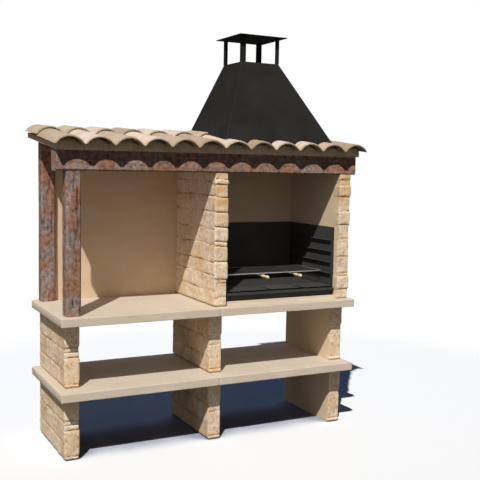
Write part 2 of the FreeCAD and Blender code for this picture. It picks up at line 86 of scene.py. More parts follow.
# Cast slabs: their names, and how far the outline is drawn in at steps from either end
CAST_SLABS = ("shelf_slab_left", "shelf_slab_right", "worktop_slab_left", "worktop_slab_right")
SLAB_GRID = 0.024
SLAB_EDGE_R = 0.0025
SLAB_END = ((0.0, 0.0030), (0.0012, 0.0010), (0.0035, 0.0))
SLAB_END_CLEAR = 0.02
SLAB_FACE_FROM = 0.3

# Clay tiles
TILE_COUNT = 12
TILE_PITCH = 0.1568
TILE_W = 0.1564
TILE_H = 0.044
TILE_WALL = 0.011
TILE_RIM = 0.0028
TILE_GRID = 0.018
TILE_FOOT_RISE = 0.008
ARC_STEPS = 20
INNER_ARC_STEPS = 16
PALE_FRONT_TILES = (2, 4, 7, 9, 10)
PALE_BACK_TILES = (3, 5, 6)
TILE_FRONT_Y = FRONT_Y - 0.031
FRONT_ROW_END_Y = FRONT_Y + 0.410
FRONT_ROW_BACK = (0.1425, 0.0410)
BACK_ROW = (1, 2, 3, 4, 5, 6, 7, 12)
BACK_ROW_FRONT_Y = FRONT_Y + 0.358
BACK_ROW_END_Y = FRONT_Y + 0.642
BACK_ROW_BACK = (0.1485, 0.0412)
BACK_ROW_LIFT = 0.0112
TILES_AT_HOOD = (7, 8, 9, 10, 11)

# Mortar bed under the eave
BED_D = 0.016
BED_GRID = 0.004
BED_UPRIGHT = 0.5
DAB_HALF_W = 0.008
DAB_OUT = 0.050
DAB_SAG = 0.001

# Hood: height, half width, front and back of its foot and of its mouth
HOOD_X = 0.406
HOOD_FOOT = (1.69, 0.3725, FRONT_Y + 0.057, FRONT_Y + 0.656)
HOOD_MOUTH = (2.199, 0.127, FRONT_Y + 0.347, FRONT_Y + 0.596)
HOOD_SHEET = 0.003
HOOD_FOLD_R = 0.010
HOOD_FOLD_TURNS = (0, 22.5, 45, 67.5, 90)
HOOD_TILE_GAP = 0.002

# Greys of the black steel, and of the grill's plating where bright and where burnt
HOOD_BLACK = 38
LINING_BLACK = 67
DRAWER_BLACK = 52
BRIGHT_PLATING = 140
BURNT_PLATING = 78

# Camera and light
CAMERA_PLACE = (-1.971, FRONT_Y - 4.030, 1.574)
CAMERA_YAW = 27.31
CAMERA_PITCH = 5.15
CAMERA_ROLL = -1.07
CAMERA_LENS = 61.04
SUN_TRAVEL = (0.396, 0.5215, -0.756)
SUN_STRENGTH = 3.95
SUN_ANGLE = 0.9
SUN_COLOUR = (1.0, 0.985, 0.955)
FILL_TRAVEL = (0.25, 0.55, -0.8)
FILL_STRENGTH = 0.90
FILL_ANGLE = 140
FILL_COLOUR = (1.0, 0.94, 0.86)
SKY_COLOUR = (0.25, 0.45, 1.0, 1.0)
SKY_STRENGTH = 0.03
GLOW_PLACE = (0.4, 2.4, 3.6)
GLOW_AIM = (0.2, 0.3, 0.0)
GLOW_COLOUR = (0.2, 0.46, 1.0)
GLOW_WATTS = 9
GLOW_SIZE = (4.0, 1.5)
FLOOR_HALF = 14.0
FLOOR_DROP = 0.0006
FLOOR_BOUNCE = 0.16
FLOOR_PAINTED_SHADE_REACH = 0.6
FADE_MIDDLE = (0.4, 0.0, 0.0)
FADE_FROM = 2.52
FADE_TO = 3.08


# Mesh helpers

def roof_top(y):
    return EAVE_TOP_Z + (y - EAVE_Y) * ROOF_SLOPE


def steps(low, high, size):
    """Evenly spaced values from low to high, about size apart."""
    count = max(1, round((high - low) / size))
    return [low + (high - low) * i / count for i in range(count + 1)]


def skin(rings):
    """Closed mesh through rings of (point, paint); the paint is kept as a colour layer."""
    bm = bmesh.new()
    layer = bm.verts.layers.float_color.new("paint")
    rows = []
    for ring in rings:
        row = []
        for point, paint in ring:
            vert = bm.verts.new(point)
            vert[layer] = (*paint, 1.0)[:4]
            row.append(vert)
        rows.append(row)
    count = len(rows[0])
    for low, high in zip(rows, rows[1:]):
        for i in range(count):
            j = (i + 1) % count
            bm.faces.new((low[i], low[j], high[j], high[i]))
    bm.faces.new(rows[0][::-1])
    bm.faces.new(rows[-1])
    bmesh.ops.remove_doubles(bm, verts=bm.verts, dist=1e-5)
    bmesh.ops.recalc_face_normals(bm, faces=bm.faces)
    return bm


def make_piece(name, bm, material, slot, *nodes, crease=40):
    """Object from a mesh, shaded smooth but for sharp creases, in place of the CAD nodes named."""
    for face in bm.faces:
        face.smooth = True
    for edge in bm.edges:
        edge.smooth = edge.calc_face_angle(0) < math.radians(crease)
    mesh = bpy.data.meshes.new(name)
    bm.to_mesh(mesh)
    bm.free()
    mesh.materials.append(material)
    piece = bpy.data.objects.new(name, mesh)
    bpy.context.scene.collection.objects.link(piece)
    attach(piece, "structure")
    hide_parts(*nodes)
    return piece


def ripple(point, scale, seed=0.0):
    return noise.noise(Vector(point) * scale + Vector((seed, seed * 0.7, -seed)))


# Material helpers

def srgb(red, green, blue):
    """Colour as seen, 0 to 255, as the linear colour that shaders take."""
    def linear(value):
        value /= 255
        return value / 12.92 if value <= 0.04045 else ((value + 0.055) / 1.055) ** 2.4
    return (linear(red), linear(green), linear(blue), 1.0)


WHITE = srgb(255, 255, 255)


class Paint:
    """A material with a principled shader and short calls for the nodes that feed it."""

    def __init__(self, name, roughness, metallic=0.0, specular=0.5):
        self.material = bpy.data.materials.new(name)
        self.material.use_nodes = True
        self.tree = self.material.node_tree
        self.shader = self.tree.nodes["Principled BSDF"]
        self.shader.inputs["Roughness"].default_value = roughness
        self.shader.inputs["Metallic"].default_value = metallic
        self.shader.inputs["Specular IOR Level"].default_value = specular
        self.coords = self.tree.nodes.new("ShaderNodeTexCoord").outputs
        self.place = self.coords["Object"]

    def link(self, source, target):
        self.tree.links.new(source, target)

    def feed(self, socket, value):
        """Links an output to a socket, or sets a plain value on it."""
        if isinstance(value, bpy.types.NodeSocket):
            self.link(value, socket)
        else:
            socket.default_value = value

    def noise(self, scale, detail=4.0, stretch=(1, 1, 1), warp=0.0):
        mapping = self.tree.nodes.new("ShaderNodeMapping")
        mapping.inputs["Scale"].default_value = stretch
        self.link(self.place, mapping.inputs["Vector"])
        node = self.tree.nodes.new("ShaderNodeTexNoise")
        node.inputs["Scale"].default_value = scale
        node.inputs["Detail"].default_value = detail
        node.inputs["Distortion"].default_value = warp
        self.link(mapping.outputs["Vector"], node.inputs["Vector"])
        return node.outputs["Fac"]

    def cracks(self, scale):
        """Distance from the edges of a wavy net of cells."""
        wave = self.tree.nodes.new("ShaderNodeTexNoise")
        wave.inputs["Scale"].default_value = scale * 1.4
        self.link(self.place, wave.inputs["Vector"])
        bend = self.mix(0.12, self.place, wave.outputs["Color"], "LINEAR_LIGHT")
        net = self.tree.nodes.new("ShaderNodeTexVoronoi")
        net.feature = "DISTANCE_TO_EDGE"
        net.inputs["Scale"].default_value = scale
        self.link(bend, net.inputs["Vector"])
        return net.outputs["Distance"]

    def paint(self):
        """The four channels of the mesh's paint layer."""
        layer = self.tree.nodes.new("ShaderNodeAttribute")
        layer.attribute_name = "paint"
        split = self.tree.nodes.new("ShaderNodeSeparateColor")
        self.link(layer.outputs["Color"], split.inputs["Color"])
        return split.outputs[0], split.outputs[1], split.outputs[2], layer.outputs["Alpha"]

    def ramp(self, factor, *stops):
        """Colours or grey levels at places along a factor."""
        node = self.tree.nodes.new("ShaderNodeValToRGB")
        band = node.color_ramp.elements
        while len(band) < len(stops):
            band.new(0.5)
        for element, (place, colour) in zip(band, stops):
            element.position = place
            element.color = colour if isinstance(colour, tuple) else (colour, colour, colour, 1)
        self.link(factor, node.inputs["Fac"])
        return node.outputs["Color"]

    def mix(self, factor, first, second, blend="MIX"):
        node = self.tree.nodes.new("ShaderNodeMix")
        node.data_type = "RGBA"
        node.blend_type = blend
        for socket, value in ((0, factor), (6, first), (7, second)):
            self.feed(node.inputs[socket], value)
        return node.outputs[2]

    def math(self, kind, first, second):
        node = self.tree.nodes.new("ShaderNodeMath")
        node.operation = kind
        for socket, value in zip(node.inputs, (first, second)):
            self.feed(socket, value)
        return node.outputs[0]

    def bump(self, height, strength, distance):
        """Adds a bump; a second call rides on the first."""
        node = self.tree.nodes.new("ShaderNodeBump")
        node.inputs["Strength"].default_value = strength
        node.inputs["Distance"].default_value = distance
        self.link(height, node.inputs["Height"])
        normal = self.shader.inputs["Normal"]
        if normal.is_linked:
            self.link(normal.links[0].from_socket, node.inputs["Normal"])
        self.link(node.outputs["Normal"], normal)

    def colour(self, source):
        self.link(source, self.shader.inputs["Base Color"])

    def roughness(self, factor, low, high):
        self.link(self.ramp(factor, (0.3, low), (0.7, high)), self.shader.inputs["Roughness"])


# Materials

def field_stone():
    """Imitation stone: chiselled cream stones, brown joints and cracks, and painted shade along the foot of
    each block; plain where cast smooth.
    """
    p = Paint("field_stone", 0.9, specular=0.15)
    joint, tint, stain, stone = p.paint()
    body = p.ramp(tint, (0.0, srgb(220, 196, 165)), (0.5, srgb(228, 207, 179)), (1.0, srgb(237, 221, 198)))
    cloud = p.ramp(p.noise(12, 5, warp=0.8), (0.34, srgb(226, 204, 172)), (0.6, WHITE))
    body = p.mix(p.math("MULTIPLY", stone, 0.5), body, cloud, "MULTIPLY")
    chisel = p.noise(110, 5, stretch=(1, 1, 0.5), warp=1.2)
    marks = p.ramp(chisel, (0.32, srgb(186, 148, 104)), (0.48, WHITE))
    body = p.mix(p.math("MULTIPLY", stone, 0.7), body, marks, "MULTIPLY")
    net = p.ramp(p.cracks(10), (0.0, 1.0), (0.022, 0.0))
    where = p.ramp(p.noise(5, 3), (0.5, 0.0), (0.6, 0.8))
    net = p.math("MULTIPLY", p.math("MULTIPLY", net, where), stone)
    body = p.mix(net, body, srgb(154, 108, 63))
    body = p.mix(stain, body, srgb(208, 165, 110))
    # The joint colour also darkens the foot of each stone face, which is painted shade.
    joints_and_foot_shade = p.ramp(joint, (0.25, 0.0), (0.9, 0.9))
    p.colour(p.mix(joints_and_foot_shade, body, srgb(127, 85, 44)))
    p.bump(p.math("MULTIPLY", p.noise(34, 6, warp=1.0), stone), 0.6, 0.004)
    p.bump(p.math("MULTIPLY", chisel, stone), 0.6, 0.0028)
    p.bump(p.noise(240, 2), 0.2, 0.0006)
    return p.material


def cast_stone():
    """Smooth cast slab: even beige with fine sand, faint clouds and small pores."""
    p = Paint("cast_stone", 0.82, specular=0.3)
    cloud = p.ramp(p.noise(4.5, 4), (0.3, srgb(204, 190, 173)), (0.7, srgb(211, 199, 183)))
    drag = p.noise(60, 4, stretch=(0.12, 1, 1))
    streaks = p.ramp(drag, (0.35, srgb(244, 239, 232)), (0.6, WHITE))
    sand = p.ramp(p.noise(330, 2), (0.3, srgb(216, 198, 176)), (0.55, WHITE))
    body = p.mix(0.45, p.mix(0.6, cloud, streaks, "MULTIPLY"), sand, "MULTIPLY")
    pores = p.ramp(p.noise(85, 2), (0.24, 0.0), (0.3, 1.0))
    p.colour(p.mix(pores, srgb(169, 146, 119), body))
    p.bump(p.noise(24, 4), 0.12, 0.003)
    p.bump(pores, 0.3, 0.0008)
    p.roughness(p.noise(30, 3), 0.74, 0.9)
    return p.material


def smooth_mortar():
    """Trowelled back panels: warm tan with sweeping trowel marks and sand grain."""
    p = Paint("smooth_mortar", 0.9, specular=0.2)
    cloud = p.ramp(p.noise(3.2, 5, warp=0.5), (0.3, srgb(211, 186, 156)), (0.7, srgb(218, 195, 167)))
    sweep = p.noise(12, 4, stretch=(0.5, 1, 1.4), warp=0.5)
    trowel = p.ramp(sweep, (0.35, srgb(249, 246, 241)), (0.6, WHITE))
    sand = p.ramp(p.noise(260, 3), (0.3, srgb(222, 200, 174)), (0.58, WHITE))
    p.colour(p.mix(0.3, p.mix(0.7, cloud, trowel, "MULTIPLY"), sand, "MULTIPLY"))
    p.bump(sweep, 0.1, 0.002)
    p.bump(p.noise(280, 2), 0.15, 0.0006)
    return p.material


def roof_concrete():
    """Rough concrete of the roof slabs and the mortar in the arches."""
    p = Paint("roof_concrete", 0.93, specular=0.2)
    cloud = p.ramp(p.noise(11, 5), (0.3, srgb(175, 154, 125)), (0.7, srgb(198, 175, 144)))
    grit = p.ramp(p.noise(170, 3), (0.3, srgb(140, 126, 102)), (0.55, WHITE))
    p.colour(p.mix(0.6, cloud, grit, "MULTIPLY"))
    p.bump(p.noise(38, 6), 0.7, 0.005)
    p.bump(p.noise(210, 2), 0.4, 0.0012)
    return p.material


def weaker(stretch):
    """A weaker stretch, for marks that follow the grain loosely."""
    return tuple(min(1.0, share + 0.35) for share in stretch)


def aged_timber(name, stretch, wear, tone):
    """Weathered timber: mottled red-brown, dark checks along the grain, blue-grey patina in speckles."""
    p = Paint(name, 0.85, specular=0.1)

    def brown(red, green, blue):
        return srgb(red * tone, green * tone, blue * tone)

    grain = p.noise(70, 6, stretch=stretch, warp=0.3)
    mottle = p.noise(46, 7, warp=0.4)
    browns = (0.34, brown(119, 86, 73)), (0.5, brown(151, 111, 91)), (0.64, brown(173, 129, 106))
    wood = p.ramp(mottle, *browns)
    grey = p.ramp(p.noise(10, 6, warp=0.5), (0.43, 0.0), (0.62, wear))
    wood = p.mix(grey, wood, p.ramp(mottle, (0.36, srgb(108, 100, 96)), (0.62, srgb(150, 139, 132))))
    checks = p.ramp(grain, (0.32, srgb(140, 120, 112)), (0.44, WHITE))
    wood = p.mix(wear, wood, checks, "MULTIPLY")
    patch = p.ramp(p.noise(8, 6, stretch=weaker(stretch), warp=0.4), (0.55, 0.0), (0.64, 0.9))
    flecks = p.ramp(p.noise(120, 5, stretch=weaker(stretch), warp=0.3), (0.45, 0.0), (0.58, 0.75))
    p.colour(p.mix(p.math("MULTIPLY", patch, flecks), wood, srgb(161, 168, 171)))
    p.bump(mottle, 0.4, 0.003)
    p.bump(grain, 0.4, 0.002)
    p.bump(flecks, 0.3, 0.001)
    return p.material


def clay_tile():
    """Unglazed clay: each tile its own cream, tan or pink, with clouds and grit, a little darker near its
    ends, and painted shade on its underside.
    """
    p = Paint("clay_tile", 0.88, specular=0.25)
    darker_ends_and_underside_shade, tint, blush, _ = p.paint()
    clay = p.ramp(tint, (0.0, srgb(160, 145, 124)), (0.5, srgb(186, 170, 149)), (1.0, srgb(203, 188, 169)))
    clay = p.mix(blush, clay, srgb(223, 209, 201))
    cloud = p.ramp(p.noise(8, 5, warp=0.5), (0.3, srgb(218, 200, 176)), (0.65, WHITE))
    clay = p.mix(0.5, clay, cloud, "MULTIPLY")
    grit = p.ramp(p.noise(150, 3), (0.3, srgb(200, 172, 136)), (0.52, WHITE))
    clay = p.mix(0.5, clay, grit, "MULTIPLY")
    # Darker near the tile's ends, and painted shade over its whole underside.
    p.colour(p.mix(darker_ends_and_underside_shade, clay, srgb(123, 102, 77)))
    p.bump(p.noise(30, 5), 0.35, 0.004)
    p.bump(p.noise(190, 3), 0.3, 0.001)
    return p.material


def black_steel(name, shade, roughness, specular):
    """Matt black painted sheet: faint cloudiness, orange-peel and a little dust."""
    p = Paint(name, roughness, specular=specular)
    low = srgb(shade - 3, shade - 4, shade - 6)
    high = srgb(shade + 5, shade + 4, shade + 2)
    paint = p.ramp(p.noise(5, 5, warp=0.4), (0.3, low), (0.7, high))
    dust = p.ramp(p.noise(60, 4), (0.55, 0.0), (0.8, 0.06))
    p.colour(p.mix(dust, paint, srgb(92, 88, 82)))
    p.bump(p.noise(420, 2), 0.12, 0.0004)
    p.roughness(p.noise(16, 4), roughness - 0.06, roughness + 0.06)
    return p.material


def plating(p, shade):
    """Grey of plated bars with faint heat haze."""
    haze = srgb(shade + 30, shade + 28, shade + 22)
    return p.ramp(p.noise(25, 3), (0.3, srgb(shade, shade, shade)), (0.75, haze))


def bright_bar():
    """Plated bar that the fire has left bright."""
    p = Paint("bright_bar", 0.35, metallic=0.5)
    p.colour(plating(p, BRIGHT_PLATING))
    p.roughness(p.noise(90, 3), 0.28, 0.42)
    return p.material


def burnt_rods():
    """Rods dulled by the fire; the outer ones stay bright."""
    p = Paint("burnt_bar", 0.35, metallic=0.5)
    across = p.tree.nodes.new("ShaderNodeSeparateXYZ")
    p.link(p.coords["Generated"], across.inputs[0])
    off = p.math("ABSOLUTE", p.math("SUBTRACT", across.outputs["X"], 0.5), 0.0)
    outer = p.ramp(off, (0.485, 0.0), (0.49, 1.0))
    p.colour(p.mix(outer, plating(p, BURNT_PLATING), plating(p, BRIGHT_PLATING)))
    p.roughness(p.noise(90, 3), 0.28, 0.42)
    return p.material


def handle_wood():
    """Turned pale wood with grain that runs along the handle."""
    p = Paint("handle_wood", 0.55, specular=0.4)
    grain = p.noise(60, 5, stretch=(3, 0.25, 3), warp=0.5)
    pale = srgb(236, 221, 188)
    p.colour(p.ramp(grain, (0.3, srgb(208, 179, 131)), (0.55, srgb(229, 208, 167)), (0.75, pale)))
    p.bump(grain, 0.25, 0.0006)
    return p.material


# Stone legs and walls

def lay_stones(length, courses, rng, paleness):
    """Courses of one face: bottom, top, ends of the stones along it, and a look for each stone."""
    rows = []
    level = 0.0
    for height in courses:
        ends = []
        place = rng.uniform(*STONE_LENGTHS) * rng.uniform(0.4, 1.0)
        while place < length - STONE_LENGTHS[0] / 2:
            ends.append(place)
            place += rng.uniform(*STONE_LENGTHS)
        looks = [(rng.uniform(paleness, 1), rng.uniform(-1, 1)) for _ in range(len(ends) + 1)]
        rows.append((level, level + height, ends, looks))
        level += height
    return rows


def stone_relief(rows, u, v, seed, quoin):
    """Height of a stone face at a place along it and above its foot, its step, and its paint."""
    wave = 0.007 * noise.noise((u * 7, v * 3, seed)) + 0.003 * noise.noise((u * 38, v * 10, seed))
    sway = 0.005 * noise.noise((v * 12, u * 4, seed + 9))
    level = v + wave
    row = next((r for r in rows if r[0] <= level < r[1]), rows[0] if level < 0 else rows[-1])
    low, high, ends, looks = row
    place = u + sway
    index = sum(1 for end in ends if end < place)
    gaps = [abs(place - end) for end in ends]
    gaps.append(high - level)
    if low > 0:
        gaps.append(level - low)
    gap = max(0.0, min(gaps))
    tint, step = looks[index]
    wear = 0.55 + 1.0 * noise.noise((u * 9, v * 9, seed + 3)) + (0.35 if quoin else 0.0)
    joint = math.exp(-((gap / JOINT_W) ** 2)) * max(0.05, min(1.0, wear))
    pillow = 1 - math.exp(-gap / 0.0045)
    rough = 0.0020 * noise.noise((u * 26, v * 34, seed)) + 0.0013 * noise.noise((u * 80, v * 95, seed))
    reach = step * pillow * (QUOIN_STEP if quoin else STONE_STEP)
    height = STONE_BULGE * pillow + reach - JOINT_DEPTH * joint + rough
    rust = noise.noise((u * 11, v * 14, seed + 21)) - 0.25 + 0.32 * math.exp(-gap / 0.007)
    stain = max(0.0, min(0.8, rust * 1.8)) * (0.15 + 0.85 * math.exp(-gap / 0.011))
    if quoin and v > STAINED_FROM:
        stain = max(stain, min(0.85, 0.6 + 0.9 * noise.noise((u * 8, v * 22, seed + 31))))
    return height, reach, (joint, tint, stain, 1.0)


def plain_relief(u, v, seed):
    """The same for a face that is cast smooth."""
    height = 0.0004 + 0.0004 * noise.noise((u * 20, v * 20, seed))
    return height, 0.0, (0.0, 0.15, 0.0, 0.0)


def block_columns(x0, x1, y0, y1, stone_side):
    """Places round a block, each with its faces as (normal, number, is stone, distance along)."""
    columns = []
    front = (Vector((0, -1, 0)), 0, True)
    left = (Vector((-1, 0, 0)), 1, stone_side < 0)
    right = (Vector((1, 0, 0)), 2, stone_side > 0)
    back = (Vector((0, 1, 0)), 3, False)
    for x in steps(x0, x1, STONE_GRID)[1:-1]:
        columns.append((x, y0, [(*front, x - x0)]))
    columns.append((x1, y0, [(*front, x1 - x0), (*right, 0.0)]))
    for y in steps(y0, y1, STONE_GRID if stone_side > 0 else PLAIN_GRID)[1:-1]:
        columns.append((x1, y, [(*right, y - y0)]))
    columns.append((x1, y1, [(*right, y1 - y0), (*back, 0.0)]))
    for x in steps(x1, x0, -PLAIN_GRID)[1:-1]:
        columns.append((x, y1, [(*back, x1 - x)]))
    columns.append((x0, y1, [(*back, x1 - x0), (*left, y1 - y0)]))
    for y in steps(y1, y0, -(STONE_GRID if stone_side < 0 else PLAIN_GRID))[1:-1]:
        columns.append((x0, y, [(*left, y - y0)]))
    columns.append((x0, y0, [(*left, 0.0), (*front, 0.0)]))
    return columns


def stone_block(node, stone_side, front_courses, side_courses, paleness, seed, material, top=None):
    """Block of coursed stone in place of a leg or wall; top gives its height where it isn't level."""
    low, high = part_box(node)
    rng = random.Random(seed)
    front_rows = lay_stones(high.x - low.x, front_courses, rng, QUOIN_PALENESS)
    side_rows = lay_stones(high.y - low.y, side_courses, rng, paleness)
    columns = block_columns(low.x, high.x, low.y, high.y, stone_side)
    rings = []
    for z in steps(low.z, high.z, STONE_GRID):
        ring = []
        foot = max(0.0, 1 - (z - low.z) / FOOT_H) ** 2
        for x, y, faces in columns:
            level = min(z, top(y)) if top else z
            point = Vector((x, y, level))
            _, reach, _ = stone_relief(front_rows, x - low.x, level - low.z, seed, True)
            near = max(0.0, 1 - (y - low.y) / QUOIN_DEPTH) ** 0.5
            for normal, which, stone, along in faces:
                face_seed = seed + FACE_SEED_STEP * which
                if stone:
                    rows = front_rows if which == 0 else side_rows
                    height, _, paint = stone_relief(rows, along, level - low.z, face_seed, which == 0)
                    height -= FOOT_DRAW * foot
                    # Painted shade: the joint channel is raised along the foot of each stone face,
                    # darkening it.
                    paint = (max(paint[0], 0.9 * foot), *paint[1:])
                else:
                    height, _, paint = plain_relief(along, level - low.z, face_seed)
                if which in (1, 2):
                    height += reach * near
                point += normal * (height - (STONE_CORNER if len(faces) > 1 else 0))
            ring.append((point, paint))
        rings.append(ring)
    return make_piece(f"stone_{node}", skin(rings), material, "field_stone", node, crease=60)


def wall_top(y):
    """Top of the upper walls: under the roof slab, and lower in the notch for the beam."""
    beam_low, beam_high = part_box("front_beam")
    if y < beam_high.y + STONE_GRID / 2:
        return beam_low.z
    return roof_top(y) - ROOF_SLAB_T


def all_stone(material):
    """Every leg and wall: which side shows stones, and a seed for its pattern."""
    for tier in ("base", "upper"):
        for place, side, seed in (("left", -1, 3), ("middle", -1, 11), ("right", 1, 5)):
            stone_block(f"{tier}_leg_{place}", side, LEG_FRONT, LEG_SIDE, LEG_PALENESS, seed, material)
    stone_block("middle_wall", -1, WALL_FRONT, WALL_SIDE, WALL_PALENESS, 17, material, wall_top)
    stone_block("right_wall", 1, WALL_FRONT, WALL_SIDE, WALL_PALENESS, 29, material, wall_top)


# Timber

def chamfered(width, depth, chamfer, grid):
    """Points round a rectangle with cut corners, from its middle."""
    corners = []
    for sx, sy in ((-1, -1), (1, -1), (1, 1), (-1, 1)):
        near_x = (sx * (width / 2 - chamfer), sy * depth / 2)
        near_y = (sx * width / 2, sy * (depth / 2 - chamfer))
        corners += [near_y, near_x] if sx * sy > 0 else [near_x, near_y]
    points = []
    for (x0, y0), (x1, y1) in zip(corners, corners[1:] + corners[:1]):
        count = max(2, round(math.hypot(x1 - x0, y1 - y0) / grid))
        points += [(x0 + (x1 - x0) * i / count, y0 + (y1 - y0) * i / count) for i in range(count)]
    return points


def worn(u, v, along, size, seed):
    """Share of a timber's section that wear leaves: long grain, dents and soft wobble."""
    grain = noise.noise((u * 60, v * 60, along * 3.0 + seed))
    dent = noise.noise((u * 18, v * 18, along * 14.0 + seed))
    wobble = noise.noise((seed, u * 4, along * 5.0))
    drop = GRAIN_DEPTH * (0.55 * abs(grain) + 0.6 * max(0.0, dent) + 0.4 * wobble + 0.2)
    return 1 - drop / size


def timber_post(node, material, seed):
    """Post with worn faces, cut off under the sloping roof slab."""
    low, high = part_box(node)
    middle = (low + high) / 2
    size = (high.x - low.x) / 2
    outline = chamfered(high.x - low.x, high.y - low.y, POST_CHAMFER, TIMBER_GRID)
    rings = []
    for z in steps(low.z, high.z, TIMBER_GRID):
        ring = []
        for u, v in outline:
            share = worn(u, v, z, size, seed)
            y = middle.y + v * share
            level = min(z, roof_top(y) - ROOF_SLAB_T)
            ring.append((Vector((middle.x + u * share, y, level)), (0, 0, 0)))
        rings.append(ring)
    return make_piece(f"timber_{node}", skin(rings), material, "aged_timber", node, crease=35)


def timber_beam(material):
    """Beam with worn faces along the eave, its top cut to the roof slab."""
    low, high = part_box("front_beam")
    middle = (low + high) / 2
    size = (high.y - low.y) / 2
    outline = chamfered(high.y - low.y, high.z - low.z, BEAM_CHAMFER, TIMBER_GRID)
    rings = []
    for x in steps(low.x, high.x, TIMBER_GRID):
        ring = []
        for u, v in outline:
            share = worn(u, v, x, size, 4.0)
            y = middle.y + u * share
            level = min(middle.z + v * share, roof_top(y) - ROOF_SLAB_T)
            ring.append((Vector((x, y, level)), (0, 0, 0)))
        rings.append(ring)
    return make_piece("timber_front_beam", skin(rings), material, "aged_timber", "front_beam", crease=35)


# Cast slabs

def slab_outline(depth, thickness, inset):
    """Points round a slab's end section, with rounded corners, drawn in by inset."""
    r = SLAB_EDGE_R
    half_d = depth / 2 - inset
    half_t = thickness / 2 - inset
    points = []
    for sy, sz, first in ((-1, -1, 180), (1, -1, 270), (1, 1, 0), (-1, 1, 90)):
        for turn in (0, 30, 60, 90):
            angle = math.radians(first + turn)
            y = sy * (half_d - r) + r * math.cos(angle)
            z = sz * (half_t - r) + r * math.sin(angle)
            points.append((y, z))
    full = []
    for (y0, z0), (y1, z1) in zip(points, points[1:] + points[:1]):
        length = math.hypot(y1 - y0, z1 - z0)
        shares = [0.0]
        if length > 4 * r:
            near = r / length
            shares += steps(near, 1 - near, SLAB_GRID / length)
        full += [(y0 + (y1 - y0) * share, z0 + (z1 - z0) * share) for share in shares]
    return full


def cast_slab(node, material, seed):
    """Slab with softly rounded, slightly uneven edges."""
    low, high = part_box(node)
    middle = (low + high) / 2
    ends = [(low.x + off, inset) for off, inset in SLAB_END]
    ends += [(x, 0.0) for x in steps(low.x + SLAB_END_CLEAR, high.x - SLAB_END_CLEAR, SLAB_GRID)]
    ends += [(high.x - off, inset) for off, inset in reversed(SLAB_END)]
    rings = []
    for x, inset in ends:
        ring = []
        for y, z in slab_outline(high.y - low.y, high.z - low.z, inset):
            point = Vector((x, middle.y + y, middle.z + z))
            uneven = 0.0009 * ripple(point, 9, seed) + 0.0005 * ripple(point, 34, seed)
            point.y += uneven if abs(y) > SLAB_FACE_FROM else 0
            point.z += min(0.0, uneven) if z > 0 else max(0.0, uneven)
            ring.append((point, (0, 0, 0)))
        rings.append(ring)
    return make_piece(f"cast_{node}", skin(rings), material, "cast_stone", node, crease=50)


# Clay tiles

def arc(width, height, count):
    """Points along an arch, across and up from the middle of its feet, from left to right."""
    radius = (width * width / 4 + height * height) / (2 * height)
    reach = math.asin(min(1.0, width / 2 / radius))
    angles = [reach * (2 * i / count - 1) for i in range(count + 1)]
    return [(radius * math.sin(a), height - radius + radius * math.cos(a)) for a in angles]


def tile_section(width, height, thin):
    """Closed section of a tile: the outer arch, then the inner one back; thin rounds off its edges at the
    ends.
    """
    outer = arc(width - 2 * thin, height - thin, ARC_STEPS)
    wall = TILE_WALL - 2 * thin
    inner = arc(width - 2 * thin - 2 * wall, height - thin - wall, INNER_ARC_STEPS)
    return outer + inner[::-1]


def tile_mesh(number, y0, y1, z0, z1, back, seed, pale):
    """One arched tile: it narrows to the back, and its clay is a little uneven."""
    rng = random.Random(seed)
    tint = rng.uniform(0.0, 0.7)
    blush = rng.uniform(0.6, 0.85) if number in pale else rng.uniform(0.0, 0.2)
    x = (number - (TILE_COUNT + 1) / 2) * TILE_PITCH
    places = [y0, y0 + 0.0015, y0 + 0.006] + steps(y0 + 0.02, y1 - 0.006, TILE_GRID) + [y1]
    rings = []
    for y in places:
        share = (y - y0) / (y1 - y0)
        edge = min(y - y0, y1 - y)
        thin = TILE_RIM if edge < 0.001 else TILE_RIM * 0.35 if edge < 0.002 else 0.0
        width = TILE_W + (back[0] - TILE_W) * share
        height = TILE_H + (back[1] - TILE_H) * share
        ring = []
        for index, (across, up) in enumerate(tile_section(width, height, thin)):
            point = Vector((x + across, y, z0 + (z1 - z0) * share + up))
            point.z += 0.0014 * ripple(point, 13, seed) + 0.0006 * ripple(point, 45, seed)
            point.x += 0.0007 * ripple(point, 11, seed + 5)
            if edge < 0.01:
                point.y += 0.0016 * ripple(point, 26, seed + 9)
            # Outer surface a little darker within 12 mm of either end; the whole underside is painted dark,
            # which is painted shade.
            darker_ends_and_underside_shade = 0.45 * max(0.0, 1 - edge / 0.012) if index <= ARC_STEPS else 0.9
            ring.append((point, (darker_ends_and_underside_shade, tint, blush)))
        rings.append(ring)
    return skin(rings)


def hood_level(z, grow=0.0):
    """Half width, front and back of the hood at a height."""
    share = (z - HOOD_FOOT[0]) / (HOOD_MOUTH[0] - HOOD_FOOT[0])
    half, front, back = (a + (b - a) * share for a, b in zip(HOOD_FOOT[1:], HOOD_MOUTH[1:]))
    return half + grow, front - grow, back + grow


def hood_cutter():
    """Solid of the hood's outside, a little grown, to cut the tiles that meet it."""
    rings = []
    for z in (HOOD_FOOT[0] - 0.06, HOOD_MOUTH[0]):
        half, front, back = hood_level(z, HOOD_TILE_GAP)
        corners = [(-half, front), (half, front), (half, back), (-half, back)]
        rings.append([(Vector((HOOD_X + x, y, z)), (0, 0, 0)) for x, y in corners])
    mesh = bpy.data.meshes.new("hood_cutter")
    bm = skin(rings)
    bm.to_mesh(mesh)
    bm.free()
    cutter = bpy.data.objects.new("hood_cutter", mesh)
    bpy.context.scene.collection.objects.link(cutter)
    return cutter


